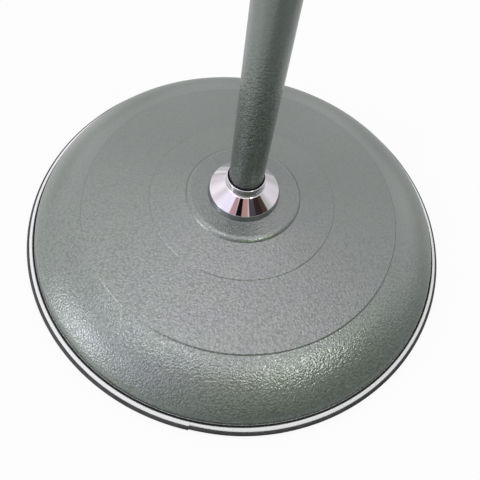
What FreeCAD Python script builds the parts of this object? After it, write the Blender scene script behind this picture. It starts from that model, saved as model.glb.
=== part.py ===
"""Weighted pedestal floor stand: a round pressed steel base on a cast iron ballast, with an
edge moulding, a bright bead and a painted tube column whose foot is covered by a loose collar.

Millimetres. +Z is up. The origin is on the floor, on the column's axis.
"""
import FreeCAD, Part

import math
import os

import Sketcher

doc = FreeCAD.newDocument("pedestal_stand")
sheet = doc.addObject("Spreadsheet::Sheet", "sizes")
sheet_rows = []


class Size:
    """A number that knows its value now and the sheet expression that keeps it."""

    def __init__(self, value, text):
        self.value = float(value)
        self.text = text

    def __add__(self, other):
        return combined(self, "+", other)

    def __sub__(self, other):
        return combined(self, "-", other)

    def __mul__(self, other):
        return combined(self, "*", other)

    def __truediv__(self, other):
        return combined(self, "/", other)

    def __neg__(self):
        return combined(ZERO, "-", self)


def as_size(number):
    """A Size of a plain number, or the Size itself."""
    if isinstance(number, Size):
        return number
    return Size(number, repr(float(number)))


def combined(first, sign, second):
    """The Size of two Sizes or numbers with an arithmetic sign between them."""
    left, right = as_size(first), as_size(second)
    results = {
        "+": left.value + right.value,
        "-": left.value - right.value,
        "*": left.value * right.value,
        "/": left.value / (right.value or 1.0),
    }
    return Size(results[sign], "(%s %s %s)" % (left.text, sign, right.text))


def sized(name, value):
    """Writes one driving size to the sheet and returns it as a Size."""
    sheet_rows.append(name)
    row = len(sheet_rows)
    sheet.set("A%d" % row, name)
    sheet.set("B%d" % row, str(value))
    sheet.setAlias("B%d" % row, name)
    return Size(value, "%s.%s" % (sheet.Name, name))


ZERO = Size(0.0, "0")
HALF_SLOPE = math.sqrt(0.5)

# Edge moulding, a soft channel pushed over the shell's rim, and its bright bead
base_radius = sized("base_radius", 200.0)
moulding_depth = sized("moulding_depth", 6.8)
moulding_web = sized("moulding_web", 4.2)
moulding_floor = sized("moulding_floor", 1.7)
moulding_clearance = sized("moulding_clearance", 0.1)
moulding_round = sized("moulding_round", 1.6)
moulding_flank_bend = sized("moulding_flank_bend", 4.0)
lip_bevel = sized("lip_bevel", 0.6)
lip_rise = sized("lip_rise", 0.5)
groove_floor = sized("groove_floor", 0.2)
bead_margin = sized("bead_margin", 2.7)
bead_width = sized("bead_width", 3.1)
bead_tilt = sized("bead_tilt", 1.7)
bead_edge = sized("bead_edge", 0.3)
bead_outer_shoulder = sized("bead_outer_shoulder", 0.4)
bead_outer_rise = sized("bead_outer_rise", 1.1)
bead_inner_shoulder = sized("bead_inner_shoulder", 1.2)
bead_inner_rise = sized("bead_inner_rise", 0.25)
joint_gap = sized("joint_gap", 0.5)
joint_angle = sized("joint_angle", -93.25)

# Pressed steel base shell
shell_wall = sized("shell_wall", 1.2)
centre_hole_radius = sized("centre_hole_radius", 9.0)
boss_height = sized("boss_height", 55.6)
boss_margin = sized("boss_margin", 2.0)
boss_roll = sized("boss_roll", 5.3)
inner_ring_fall = sized("inner_ring_fall", 3.0)
middle_ring_radius = sized("middle_ring_radius", 85.2)
middle_ring_fall = sized("middle_ring_fall", 5.4)
middle_ring_drop = sized("middle_ring_drop", 0.6)
outer_ring_radius = sized("outer_ring_radius", 145.8)
outer_ring_fall = sized("outer_ring_fall", 8.2)
outer_ring_drop = sized("outer_ring_drop", 1.1)
ring_step_run = sized("ring_step_run", 0.9)
shoulder_bend = sized("shoulder_bend", 78.0)
skirt_bend = sized("skirt_bend", 17.5)
skirt_turn_run = sized("skirt_turn_run", 5.0)
skirt_turn_fall = sized("skirt_turn_fall", 11.15)
skirt_wall_height = sized("skirt_wall_height", 1.6)
skirt_gap = sized("skirt_gap", 0.8)
skirt_fillet = sized("skirt_fillet", 0.7)
flange_level = sized("flange_level", 4.6)

# Column
column_radius = sized("column_radius", 15.0)
column_wall = sized("column_wall", 1.5)
column_top = sized("column_top", 450.0)
spigot_clearance = sized("spigot_clearance", 0.05)
spigot_length = sized("spigot_length", 36.0)
pin_radius = sized("pin_radius", 2.0)
pin_bore = sized("pin_bore", 1.1)
pin_clearance = sized("pin_clearance", 0.05)
pin_inset = sized("pin_inset", 0.3)
pin_rise = sized("pin_rise", 5.6)
plug_length = sized("plug_length", 25.0)
plug_head = sized("plug_head", 3.0)
plug_chamfer = sized("plug_chamfer", 0.8)
plug_thread_radius = sized("plug_thread_radius", 5.1)
plug_thread_depth = sized("plug_thread_depth", 16.0)
plug_pin_drop = sized("plug_pin_drop", 19.0)

# Column flange, gasket, reinforcing plate and the screws that hold them together
plate_thickness = sized("plate_thickness", 3.0)
gasket_thickness = sized("gasket_thickness", 0.8)
foot_flange_thickness = sized("foot_flange_thickness", 4.0)
foot_flange_margin = sized("foot_flange_margin", 0.2)
flange_screw_count = sized("flange_screw_count", 4)
flange_screw_radius = sized("flange_screw_radius", 3.0)
flange_screw_head = sized("flange_screw_head", 5.8)
screw_head_room = sized("screw_head_room", 0.2)
screw_hole_clearance = sized("screw_hole_clearance", 0.3)
thread_clearance = sized("thread_clearance", 0.05)
flange_nut_flats = sized("flange_nut_flats", 10.0)
flange_nut_height = sized("flange_nut_height", 5.0)
flange_washer_radius = sized("flange_washer_radius", 6.0)
washer_thickness = sized("washer_thickness", 1.6)
spring_washer_wall = sized("spring_washer_wall", 2.2)
spring_washer_turn = sized("spring_washer_turn", 350.0)
thread_end = sized("thread_end", 1.6)

# Loose collar over the column's foot, with its bush
collar_wall = sized("collar_wall", 1.0)
collar_room = sized("collar_room", 2.6)
collar_flare = sized("collar_flare", 2.0)
collar_lip_room = sized("collar_lip_room", 0.2)
collar_cone_height = sized("collar_cone_height", 10.6)
collar_neck_length = sized("collar_neck_length", 7.4)
collar_fillet = sized("collar_fillet", 1.2)
collar_fillet_bend = sized("collar_fillet_bend", 1.8)
collar_edge_bevel = sized("collar_edge_bevel", 0.4)
bush_wall = sized("bush_wall", 0.9)
bush_clearance = sized("bush_clearance", 0.3)
bush_overhang = sized("bush_overhang", 0.3)
bush_recess = sized("bush_recess", 0.7)
bush_chamfer = sized("bush_chamfer", 0.3)

# Studs that hang the ballast on the plate
stud_count = sized("stud_count", 3)
stud_radius = sized("stud_radius", 4.0)
stud_nut_flats = sized("stud_nut_flats", 13.0)
stud_nut_height = sized("stud_nut_height", 6.5)
stud_washer_radius = sized("stud_washer_radius", 8.0)

# Cast iron ballast
ballast_lift = sized("ballast_lift", 0.4)
ballast_margin = sized("ballast_margin", 14.4)
ballast_slope = sized("ballast_slope", 12.0)
ballast_slope_fall = sized("ballast_slope_fall", 9.0)
ballast_ring_radius = sized("ballast_ring_radius", 118.0)
ballast_ring_drop = sized("ballast_ring_drop", 14.0)
ballast_recess = sized("ballast_recess", 3.0)
ballast_web = sized("ballast_web", 6.0)
hub_wall = sized("hub_wall", 9.0)
hub_taper = sized("hub_taper", 15.4)
hub_top_margin = sized("hub_top_margin", 1.0)
hub_bore_room = sized("hub_bore_room", 2.0)
hub_pocket_room = sized("hub_pocket_room", 3.0)
hub_thickness = sized("hub_thickness", 16.0)
rib_count = sized("rib_count", 6)
rib_width = sized("rib_width", 8.0)
rib_drop = sized("rib_drop", 4.0)
casting_bite = sized("casting_bite", 3.0)

# Bottom plate and its screws
bottom_plate_room = sized("bottom_plate_room", 2.9)
bottom_plate_wall = sized("bottom_plate_wall", 1.0)
bottom_dish_room = sized("bottom_dish_room", 3.0)
bottom_dish_rise = sized("bottom_dish_rise", 3.0)
bottom_swage_width = sized("bottom_swage_width", 6.0)
bottom_swage_rise = sized("bottom_swage_rise", 1.5)
bottom_screw_inset = sized("bottom_screw_inset", 12.0)
bottom_screw_count = sized("bottom_screw_count", 4)
bottom_screw_radius = sized("bottom_screw_radius", 2.5)
bottom_screw_head = sized("bottom_screw_head", 4.6)
bottom_screw_head_height = sized("bottom_screw_head_height", 2.2)
bottom_screw_reach = sized("bottom_screw_reach", 10.0)
hole_end_room = sized("hole_end_room", 2.0)

# Rubber feet and their screws
foot_inset = sized("foot_inset", 18.0)
foot_turn = sized("foot_turn", 45.0)
foot_radius = sized("foot_radius", 13.0)
foot_taper = sized("foot_taper", 1.0)
foot_recess_radius = sized("foot_recess_radius", 6.5)
foot_recess_depth = sized("foot_recess_depth", 2.2)
foot_screw_radius = sized("foot_screw_radius", 2.0)
foot_screw_head = sized("foot_screw_head", 4.4)
foot_screw_head_height = sized("foot_screw_head_height", 1.8)
foot_screw_reach = sized("foot_screw_reach", 8.0)

doc.recompute()

# Levels of the shell and of what hangs from it
shell_underside = boss_height - shell_wall
plate_bottom = shell_underside - plate_thickness
inner_ring_height = boss_height - inner_ring_fall
middle_ring_height = inner_ring_height - middle_ring_fall
outer_ring_height = middle_ring_height - outer_ring_fall
washer_bottom = plate_bottom - washer_thickness
spring_bottom = washer_bottom - washer_thickness
flange_nut_bottom = spring_bottom - flange_nut_height
hub_underside = plate_bottom - hub_thickness
hub_shoulder = plate_bottom - hub_taper
stud_washer_bottom = hub_underside - washer_thickness
stud_spring_bottom = stud_washer_bottom - washer_thickness
stud_nut_bottom = stud_spring_bottom - stud_nut_height

# Levels of the rim, the underside and the ballast
flange_under = flange_level - shell_wall
slot_top = flange_level + moulding_clearance
slot_bottom = flange_under - moulding_clearance
moulding_bottom = slot_bottom - moulding_floor
bead_outer_height = slot_top + groove_floor
bead_inner_height = bead_outer_height + bead_tilt
moulding_height = bead_inner_height + lip_rise
ballast_bottom = flange_level + ballast_lift
bottom_plate_under = ballast_bottom - bottom_plate_wall
web_underside = ballast_bottom + ballast_recess
web_top = web_underside + ballast_web
ballast_ring_top = outer_ring_height - ballast_ring_drop
ballast_rim_top = ballast_ring_top - ballast_slope_fall
rib_top = ballast_ring_top - rib_drop

# Levels of the column and the collar
gasket_top = boss_height + gasket_thickness
flange_top = gasket_top + foot_flange_thickness
foot_pin_level = flange_top + pin_rise
tube_top = column_top - plug_head
top_pin_level = tube_top - plug_pin_drop
collar_lip_top = flange_top + collar_lip_room
collar_neck_foot = collar_lip_top + collar_cone_height
collar_top = collar_neck_foot + collar_neck_length

# Radii at the rim
moulding_lip_radius = base_radius - moulding_depth
rim_slot_radius = base_radius - moulding_web
rim_edge = rim_slot_radius - moulding_clearance
skirt_radius = moulding_lip_radius - skirt_gap
bead_outer_radius = base_radius - bead_margin
bead_inner_radius = bead_outer_radius - bead_width
bottom_plate_radius = skirt_radius - bottom_plate_room
ballast_radius = skirt_radius - ballast_margin
ballast_slope_radius = ballast_radius - ballast_slope
foot_circle = ballast_radius - foot_inset
bottom_screw_circle = ballast_ring_radius + bottom_screw_inset

# Radii from the column outwards
column_bore = column_radius - column_wall
spigot_radius = column_bore - spigot_clearance
flange_hole_radius = flange_screw_radius + screw_hole_clearance
flange_screw_circle = column_radius + flange_screw_head + screw_head_room
foot_flange_radius = flange_screw_circle + flange_screw_head + foot_flange_margin
collar_cone_radius = foot_flange_radius + collar_room + collar_wall
collar_radius = collar_cone_radius + collar_flare
collar_neck_bore = column_radius + bush_clearance + bush_wall
collar_neck_radius = collar_neck_bore + collar_wall
hub_bore_radius = flange_screw_circle + flange_washer_radius + hub_bore_room
stud_circle = hub_bore_radius + stud_washer_radius
stud_hole_radius = stud_radius + screw_hole_clearance
plate_radius = stud_circle + stud_washer_radius
boss_radius = plate_radius + boss_margin
inner_ring_radius = boss_radius + boss_roll
hub_top_radius = plate_radius - hub_top_margin
hub_pocket_radius = plate_radius + hub_pocket_room
hub_radius = hub_pocket_radius + hub_wall
web_inner_radius = hub_radius + casting_bite * 2
web_outer_radius = ballast_ring_radius - casting_bite * 3
bottom_swage_radius = (web_inner_radius + web_outer_radius) / 2
bottom_dish_edge = hub_pocket_radius - bottom_dish_room
bottom_dish_radius = bottom_dish_edge - bottom_dish_rise


def bind(thing, path, size):
    """Ties one property to the sheet."""
    thing.setExpression(path, as_size(size).text)


def new_body(label):
    """An empty body that will be written as one sub-part."""
    body = doc.addObject("PartDesign::Body", label)
    body.Label = label
    body.AllowCompound = True
    return body


def origin_feature(body, role):
    """One of the body's own origin planes or axes."""
    return [one for one in body.Origin.OriginFeatures if one.Role == role][0]


def new_sketch(body, name, plane, level=None):
    """A sketch on one of the body's origin planes, raised along its normal to a level."""
    sketch = body.newObject("Sketcher::SketchObject", name)
    sketch.AttachmentSupport = [(origin_feature(body, plane), "")]
    sketch.MapMode = "FlatFace"
    if level is not None:
        bind(sketch, "AttachmentOffset.Base.z", level)
    return sketch


def arc_between(start, end, radius, turn):
    """The short arc from start to end. A turn of 1 is anticlockwise and -1 is clockwise."""
    chord = end - start
    half = chord.Length / 2.0
    reach = math.sqrt(max(radius * radius - half * half, 0.0))
    left = FreeCAD.Vector(-chord.y, chord.x, 0).normalize()
    centre = start + chord * 0.5 + left * (reach * turn)
    first, last = (start, end) if turn > 0 else (end, start)
    begin = math.atan2(first.y - centre.y, first.x - centre.x)
    finish = math.atan2(last.y - centre.y, last.x - centre.x)
    return Part.ArcOfCircle(Part.Circle(centre, FreeCAD.Vector(0, 0, 1), radius), begin, finish)


def pin_point(sketch, edge, end, across, up):
    """Holds one end of an edge at a bound distance across and up from the origin."""
    for kind, size, axis in (("DistanceX", across, -2), ("DistanceY", up, -1)):
        if size.text == ZERO.text:
            sketch.addConstraint(Sketcher.Constraint("PointOnObject", edge, end, axis))
        else:
            row = sketch.addConstraint(Sketcher.Constraint(kind, -1, 1, edge, end, size.value))
            bind(sketch, "Constraints[%d]" % row, size)


def draw_outline(sketch, corners):
    """Draws a closed outline. A corner is (across, up), or (across, up, radius, turn) where
    the edge that leaves it is an arc."""
    corners = [tuple(as_size(part) for part in corner) for corner in corners]
    ends = []
    for index, corner in enumerate(corners):
        following = corners[(index + 1) % len(corners)]
        start = FreeCAD.Vector(corner[0].value, corner[1].value, 0)
        end = FreeCAD.Vector(following[0].value, following[1].value, 0)
        if len(corner) == 2:
            ends.append((sketch.addGeometry(Part.LineSegment(start, end)), 1, 2))
            continue
        turn = corner[3].value
        edge = sketch.addGeometry(arc_between(start, end, corner[2].value, turn))
        ends.append((edge, 1, 2) if turn > 0 else (edge, 2, 1))
        row = sketch.addConstraint(Sketcher.Constraint("Radius", edge, corner[2].value))
        bind(sketch, "Constraints[%d]" % row, corner[2])
    for index, (edge, first, last) in enumerate(ends):
        next_edge, next_first, _ = ends[(index + 1) % len(ends)]
        sketch.addConstraint(Sketcher.Constraint("Coincident", edge, last, next_edge, next_first))
        pin_point(sketch, edge, first, corners[index][0], corners[index][1])


def add_axis(sketch, first, second):
    """Adds a construction line to turn an outline about."""
    ends = [FreeCAD.Vector(point[0].value, point[1].value, 0) for point in (first, second)]
    edge = sketch.addGeometry(Part.LineSegment(*ends), True)
    pin_point(sketch, edge, 1, *first)
    pin_point(sketch, edge, 2, *second)


def turned(body, name, corners, axis=None, angle=None):
    """Turns an outline about the body's upright axis, or about an axis through two points."""
    sketch = new_sketch(body, name + "_outline", "XZ_Plane")
    draw_outline(sketch, corners)
    if axis:
        add_axis(sketch, *axis)
    feature = body.newObject("PartDesign::Revolution", name)
    feature.Profile = sketch
    feature.ReferenceAxis = (sketch, ["Axis0" if axis else "V_Axis"])
    feature.Angle = 360.0
    if angle is not None:
        bind(feature, "Angle", angle)
    sketch.Visibility = False
    return feature


def upright_axis(across, low, high):
    """Two points of an upright axis beside the middle."""
    return ((across, low), (across, high))


def in_a_ring(body, feature, count):
    """Repeats a feature around the body's upright axis."""
    pattern = body.newObject("PartDesign::PolarPattern", feature.Name + "_ring")
    pattern.Originals = [feature]
    pattern.Axis = (origin_feature(body, "Z_Axis"), [""])
    pattern.Angle = 360.0
    pattern.Occurrences = int(count.value)
    bind(pattern, "Occurrences", count)
    body.Tip = pattern
    return pattern


def polar(circle, turn):
    """Where a point on a circle lies, a turn in degrees round from +X."""
    angle = math.radians(turn.value)
    across = circle * Size(math.cos(angle), "cos(%s)" % turn.text)
    along = circle * Size(math.sin(angle), "sin(%s)" % turn.text)
    return across, along


def drilled(body, name, place, radius, level, depth, upwards=False):
    """Drills a round hole at a place, down, or up, from a level."""
    sketch = new_sketch(body, name + "_circle", "XY_Plane", level)
    across, along = place
    centre = FreeCAD.Vector(across.value, along.value, 0)
    circle = sketch.addGeometry(Part.Circle(centre, FreeCAD.Vector(0, 0, 1), radius.value))
    row = sketch.addConstraint(Sketcher.Constraint("Radius", circle, radius.value))
    bind(sketch, "Constraints[%d]" % row, radius)
    pin_point(sketch, circle, 3, across, along)
    hole = body.newObject("PartDesign::Pocket", name)
    hole.Profile = sketch
    hole.Length = depth.value
    hole.Reversed = upwards
    bind(hole, "Length", depth)
    sketch.Visibility = False
    return hole


def cross_drilled(body, name, level, radius):
    """Drills right through along X at a level."""
    sketch = new_sketch(body, name + "_circle", "YZ_Plane")
    centre = FreeCAD.Vector(0, level.value, 0)
    circle = sketch.addGeometry(Part.Circle(centre, FreeCAD.Vector(0, 0, 1), radius.value))
    row = sketch.addConstraint(Sketcher.Constraint("Radius", circle, radius.value))
    bind(sketch, "Constraints[%d]" % row, radius)
    pin_point(sketch, circle, 3, ZERO, level)
    hole = body.newObject("PartDesign::Pocket", name)
    hole.Profile = sketch
    hole.Type = "ThroughAll"
    hole.Midplane = True
    sketch.Visibility = False
    return hole


def padded(body, name, corners, level, height):
    """Pads an outline on the floor plane upwards from a level."""
    sketch = new_sketch(body, name + "_outline", "XY_Plane", level)
    draw_outline(sketch, corners)
    pad = body.newObject("PartDesign::Pad", name)
    pad.Profile = sketch
    pad.Length = height.value
    bind(pad, "Length", height)
    sketch.Visibility = False
    return pad


def hexagon(across, flats):
    """The corners of a nut with a given width across flats, centred beside the middle."""
    reach = flats / math.sqrt(3.0)
    corners = []
    for turn in range(6):
        angle = math.radians(60 * turn)
        aside = reach * math.cos(angle)
        along = reach * math.sin(angle)
        corners.append((across + aside, along))
    return corners


def washer_ring(label, circle, count, inner, outer, low, high, angle=None):
    """A ring of flat or split washers, each turned about its own axis."""
    body = new_body(label)
    outline = [
        (circle + inner, low),
        (circle + outer, low),
        (circle + outer, high),
        (circle + inner, high),
    ]
    washer = turned(body, label + "_turned", outline, upright_axis(circle, low, high), angle)
    in_a_ring(body, washer, count)
    return body


def nut_ring(label, circle, count, flats, hole, low, height):
    """A ring of plain hexagon nuts."""
    body = new_body(label)
    blank = padded(body, label + "_blank", hexagon(circle, flats), low, height)
    in_a_ring(body, blank, count)
    thread = drilled(body, label + "_thread", (circle, ZERO), hole, low + height, height)
    in_a_ring(body, thread, count)
    return body


def make_base_shell():
    """The pressed dome: centre boss, three shallow rings, a full shoulder that turns down
    into a steep skirt, and a flat rim."""
    body = new_body("base_shell")
    inner_roll = boss_roll - shell_wall
    fall_squared = inner_ring_fall * inner_ring_fall
    outer_bend = (boss_roll * boss_roll + fall_squared) / (inner_ring_fall * 2)
    inner_bend = (inner_roll * inner_roll + fall_squared) / (inner_ring_fall * 2)
    middle_start = middle_ring_radius - ring_step_run
    outer_start = outer_ring_radius - ring_step_run
    middle_crest = middle_ring_height + middle_ring_drop
    outer_crest = outer_ring_height + outer_ring_drop
    skirt_top = flange_level + skirt_wall_height
    turn_radius = skirt_radius - skirt_turn_run
    turn_height = skirt_top + skirt_turn_fall
    turn_wall = shell_wall * HALF_SLOPE
    outline = [
        (centre_hole_radius, boss_height),
        (boss_radius, boss_height, outer_bend, -1),
        (inner_ring_radius, inner_ring_height),
        (middle_start, middle_crest),
        (middle_ring_radius, middle_ring_height),
        (outer_start, outer_crest),
        (outer_ring_radius, outer_ring_height, shoulder_bend, -1),
        (turn_radius, turn_height, skirt_bend, -1),
        (skirt_radius, skirt_top),
        (skirt_radius, flange_level + skirt_fillet, skirt_fillet, 1),
        (skirt_radius + skirt_fillet, flange_level),
        (rim_edge, flange_level),
        (rim_edge, flange_under),
        (skirt_radius - shell_wall, flange_under),
        (skirt_radius - shell_wall, skirt_top, skirt_bend - shell_wall, 1),
        (turn_radius - turn_wall, turn_height - turn_wall, shoulder_bend - shell_wall, 1),
        (outer_ring_radius, outer_ring_height - shell_wall),
        (outer_start, outer_crest - shell_wall),
        (middle_ring_radius, middle_ring_height - shell_wall),
        (middle_start, middle_crest - shell_wall),
        (inner_ring_radius - shell_wall, inner_ring_height - shell_wall, inner_bend, 1),
        (boss_radius, shell_underside),
        (centre_hole_radius, shell_underside),
    ]
    turned(body, "dome", outline)
    hole = drilled(body, "shell_hole", (flange_screw_circle, ZERO), flange_hole_radius,
                   boss_height, shell_wall)
    in_a_ring(body, hole, flange_screw_count)


def make_edge_moulding():
    """A soft channel bent round the rim and cut square at its joint."""
    body = new_body("edge_moulding")
    groove_wall = bead_inner_radius - moulding_clearance
    outline = [
        (moulding_lip_radius, slot_top),
        (rim_slot_radius, slot_top),
        (rim_slot_radius, slot_bottom),
        (moulding_lip_radius, slot_bottom),
        (moulding_lip_radius, moulding_bottom + lip_bevel * 2),
        (moulding_lip_radius + moulding_round, moulding_bottom),
        (base_radius - moulding_round, moulding_bottom, moulding_round, 1),
        (base_radius, moulding_bottom + moulding_round, moulding_flank_bend, 1),
        (bead_outer_radius + moulding_clearance, bead_outer_height + lip_bevel),
        (bead_outer_radius, bead_outer_height),
        (bead_inner_radius, bead_inner_height),
        (groove_wall, moulding_height),
        (moulding_lip_radius + lip_bevel, moulding_height),
        (moulding_lip_radius, moulding_height - lip_bevel),
    ]
    joint_turn = joint_gap / base_radius * math.degrees(1.0)
    turned(body, "moulding_channel", outline, angle=Size(360.0, "360") - joint_turn)
    bind(body, "Placement.Rotation.Angle", joint_angle)


def make_edge_bead():
    """The bright bead with bevelled shoulders, pressed into the moulding's groove."""
    body = new_body("edge_bead")
    outer_edge = bead_outer_height + bead_edge
    inner_edge = bead_inner_height + bead_edge
    outline = [
        (bead_outer_radius, bead_outer_height),
        (bead_outer_radius, outer_edge),
        (bead_outer_radius - bead_outer_shoulder, outer_edge + bead_outer_rise),
        (bead_inner_radius + bead_inner_shoulder, inner_edge + bead_inner_rise),
        (bead_inner_radius, inner_edge),
        (bead_inner_radius, bead_inner_height),
    ]
    joint_turn = joint_gap / base_radius * math.degrees(1.0)
    turned(body, "bead_strip", outline, angle=Size(360.0, "360") - joint_turn)
    bind(body, "Placement.Rotation.Angle", joint_angle)


def make_reinforcing_plate():
    """The disc under the boss that spreads the column's load."""
    body = new_body("reinforcing_plate")
    outline = [
        (centre_hole_radius, plate_bottom),
        (plate_radius, plate_bottom),
        (plate_radius, shell_underside),
        (centre_hole_radius, shell_underside),
    ]
    turned(body, "plate_disc", outline)
    hole = drilled(body, "plate_hole", (flange_screw_circle, ZERO), flange_hole_radius,
                   shell_underside, plate_thickness)
    in_a_ring(body, hole, flange_screw_count)


def make_column_gasket():
    """The thin fibre ring between the column's flange and the paint."""
    body = new_body("column_gasket")
    outline = [
        (centre_hole_radius, boss_height),
        (foot_flange_radius, boss_height),
        (foot_flange_radius, gasket_top),
        (centre_hole_radius, gasket_top),
    ]
    turned(body, "gasket_disc", outline)
    hole = drilled(body, "gasket_hole", (flange_screw_circle, ZERO), flange_hole_radius,
                   gasket_top, gasket_thickness)
    in_a_ring(body, hole, flange_screw_count)


def make_column_flange():
    """The turned foot: a flange with countersunk holes and a spigot for the tube."""
    body = new_body("column_flange")
    outline = [
        (centre_hole_radius, gasket_top),
        (foot_flange_radius, gasket_top),
        (foot_flange_radius, flange_top),
        (spigot_radius, flange_top),
        (spigot_radius, flange_top + spigot_length - plug_chamfer),
        (spigot_radius - plug_chamfer, flange_top + spigot_length),
        (centre_hole_radius, flange_top + spigot_length),
    ]
    turned(body, "foot_turning", outline)
    sink_depth = flange_screw_head - flange_screw_radius
    sink = new_sketch(body, "sink_outline", "XZ_Plane")
    draw_outline(sink, [
        (flange_screw_circle, gasket_top),
        (flange_screw_circle + flange_hole_radius, gasket_top),
        (flange_screw_circle + flange_hole_radius, flange_top - sink_depth),
        (flange_screw_circle + flange_screw_head + screw_hole_clearance, flange_top),
        (flange_screw_circle, flange_top),
    ])
    add_axis(sink, *upright_axis(flange_screw_circle, gasket_top, flange_top))
    groove = body.newObject("PartDesign::Groove", "sink")
    groove.Profile = sink
    groove.ReferenceAxis = (sink, ["Axis0"])
    groove.Angle = 360.0
    in_a_ring(body, groove, flange_screw_count)
    cross_drilled(body, "foot_pin_hole", foot_pin_level, pin_radius)


def make_flange_screws():
    """Countersunk screws, flush with the flange."""
    body = new_body("flange_screws")
    sink_depth = flange_screw_head - flange_screw_radius
    end = flange_nut_bottom - thread_end
    outline = [
        (flange_screw_circle, end),
        (flange_screw_circle + flange_screw_radius, end),
        (flange_screw_circle + flange_screw_radius, flange_top - sink_depth),
        (flange_screw_circle + flange_screw_head, flange_top),
        (flange_screw_circle, flange_top),
    ]
    axis = upright_axis(flange_screw_circle, end, flange_top)
    in_a_ring(body, turned(body, "flange_screw", outline, axis), flange_screw_count)


def make_flange_nuts():
    """Washers, split washers and nuts under the reinforcing plate."""
    bore = flange_screw_radius + thread_clearance
    washer_ring("flange_washers", flange_screw_circle, flange_screw_count, bore,
                flange_washer_radius, washer_bottom, plate_bottom)
    washer_ring("flange_split_washers", flange_screw_circle, flange_screw_count, bore,
                flange_screw_radius + spring_washer_wall, spring_bottom, washer_bottom,
                spring_washer_turn)
    nut_ring("flange_nuts", flange_screw_circle, flange_screw_count, flange_nut_flats, bore,
             flange_nut_bottom, flange_nut_height)


def make_column_tube():
    """The painted tube, pinned at its foot and at its top."""
    body = new_body("column_tube")
    outline = [
        (column_bore, flange_top),
        (column_radius, flange_top),
        (column_radius, tube_top),
        (column_bore, tube_top),
    ]
    turned(body, "tube", outline)
    cross_drilled(body, "tube_foot_hole", foot_pin_level, pin_radius)
    cross_drilled(body, "tube_top_hole", top_pin_level, pin_radius)


def make_pin(label, level):
    """A hollow spring pin that lies across the tube, flush with its outside."""
    body = new_body(label)
    outside = pin_radius - pin_clearance
    half = column_radius - pin_inset
    outline = [
        (-half, level + pin_bore),
        (half, level + pin_bore),
        (half, level + outside),
        (-half, level + outside),
    ]
    turned(body, label + "_roll", outline, ((-half, level), (half, level)))


def make_top_plug():
    """The threaded plug that closes the tube and takes what the stand carries."""
    body = new_body("top_plug")
    outline = [
        (ZERO, tube_top - plug_length),
        (spigot_radius - plug_chamfer, tube_top - plug_length),
        (spigot_radius, tube_top - plug_length + plug_chamfer),
        (spigot_radius, tube_top),
        (column_radius, tube_top),
        (column_radius, column_top - plug_chamfer),
        (column_radius - plug_chamfer, column_top),
        (ZERO, column_top),
    ]
    turned(body, "plug_turning", outline)
    drilled(body, "plug_thread", (ZERO, ZERO), plug_thread_radius, column_top,
            plug_thread_depth)
    cross_drilled(body, "plug_pin_hole", top_pin_level, pin_radius)


def make_collar():
    """The loose bright cover: a lip on the boss, a cone and a short neck round the tube."""
    body = new_body("collar")
    fillet_foot = collar_neck_foot - collar_fillet
    outline = [
        (collar_radius, boss_height),
        (collar_cone_radius, collar_lip_top),
        (collar_neck_radius + collar_fillet, fillet_foot, collar_fillet_bend, -1),
        (collar_neck_radius, collar_neck_foot + collar_fillet),
        (collar_neck_radius, collar_top - collar_edge_bevel),
        (collar_neck_radius - collar_edge_bevel, collar_top),
        (collar_neck_bore, collar_top),
        (collar_neck_bore, collar_neck_foot),
        (collar_cone_radius - collar_wall, collar_lip_top - collar_wall / 2),
        (collar_radius - collar_wall, boss_height),
    ]
    turned(body, "collar_spinning", outline)


def make_collar_bush():
    """The dark sleeve in the collar's neck that keeps metal off the paint."""
    body = new_body("collar_bush")
    inner = column_radius + bush_clearance
    high = collar_top - bush_recess
    low = collar_neck_foot - bush_overhang
    outline = [
        (inner, low + bush_chamfer),
        (inner + bush_chamfer, low),
        (collar_neck_bore, low),
        (collar_neck_bore, high),
        (inner + bush_chamfer, high),
        (inner, high - bush_chamfer),
    ]
    turned(body, "bush_sleeve", outline)


def make_ballast():
    """The casting: a thick ring, a web with ribs and a raised hub under the plate."""
    body = new_body("ballast")
    outline = [
        (hub_bore_radius, plate_bottom),
        (hub_top_radius, plate_bottom),
        (hub_radius, hub_shoulder),
        (hub_radius + casting_bite, web_top),
        (ballast_ring_radius - casting_bite, web_top),
        (ballast_ring_radius, ballast_ring_top),
        (ballast_slope_radius, ballast_ring_top),
        (ballast_radius, ballast_rim_top),
        (ballast_radius, ballast_bottom),
        (web_outer_radius + casting_bite, ballast_bottom),
        (web_outer_radius, web_underside),
        (web_inner_radius, web_underside),
        (web_inner_radius - casting_bite, ballast_bottom),
        (hub_pocket_radius, ballast_bottom),
        (hub_pocket_radius, hub_underside),
        (hub_bore_radius, hub_underside),
    ]
    turned(body, "casting", outline)
    half = rib_width / 2
    rib_start = hub_radius - casting_bite
    rib_end = ballast_ring_radius + casting_bite
    rib = padded(body, "rib", [
        (rib_start, -half),
        (rib_end, -half),
        (rib_end, half),
        (rib_start, half),
    ], web_underside, rib_top - web_underside)
    in_a_ring(body, rib, rib_count)
    stud_hole = drilled(body, "stud_hole", (stud_circle, ZERO), stud_hole_radius,
                        plate_bottom, hub_thickness)
    in_a_ring(body, stud_hole, stud_count)
    screw_hole = drilled(body, "plate_screw_hole", (bottom_screw_circle, ZERO),
                         bottom_screw_radius + thread_clearance, ballast_bottom,
                         bottom_screw_reach + hole_end_room, True)
    in_a_ring(body, screw_hole, bottom_screw_count)
    foot_hole = drilled(body, "foot_screw_hole", polar(foot_circle, foot_turn),
                        foot_screw_radius + thread_clearance, ballast_bottom,
                        foot_screw_reach + hole_end_room, True)
    in_a_ring(body, foot_hole, bottom_screw_count)


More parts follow.
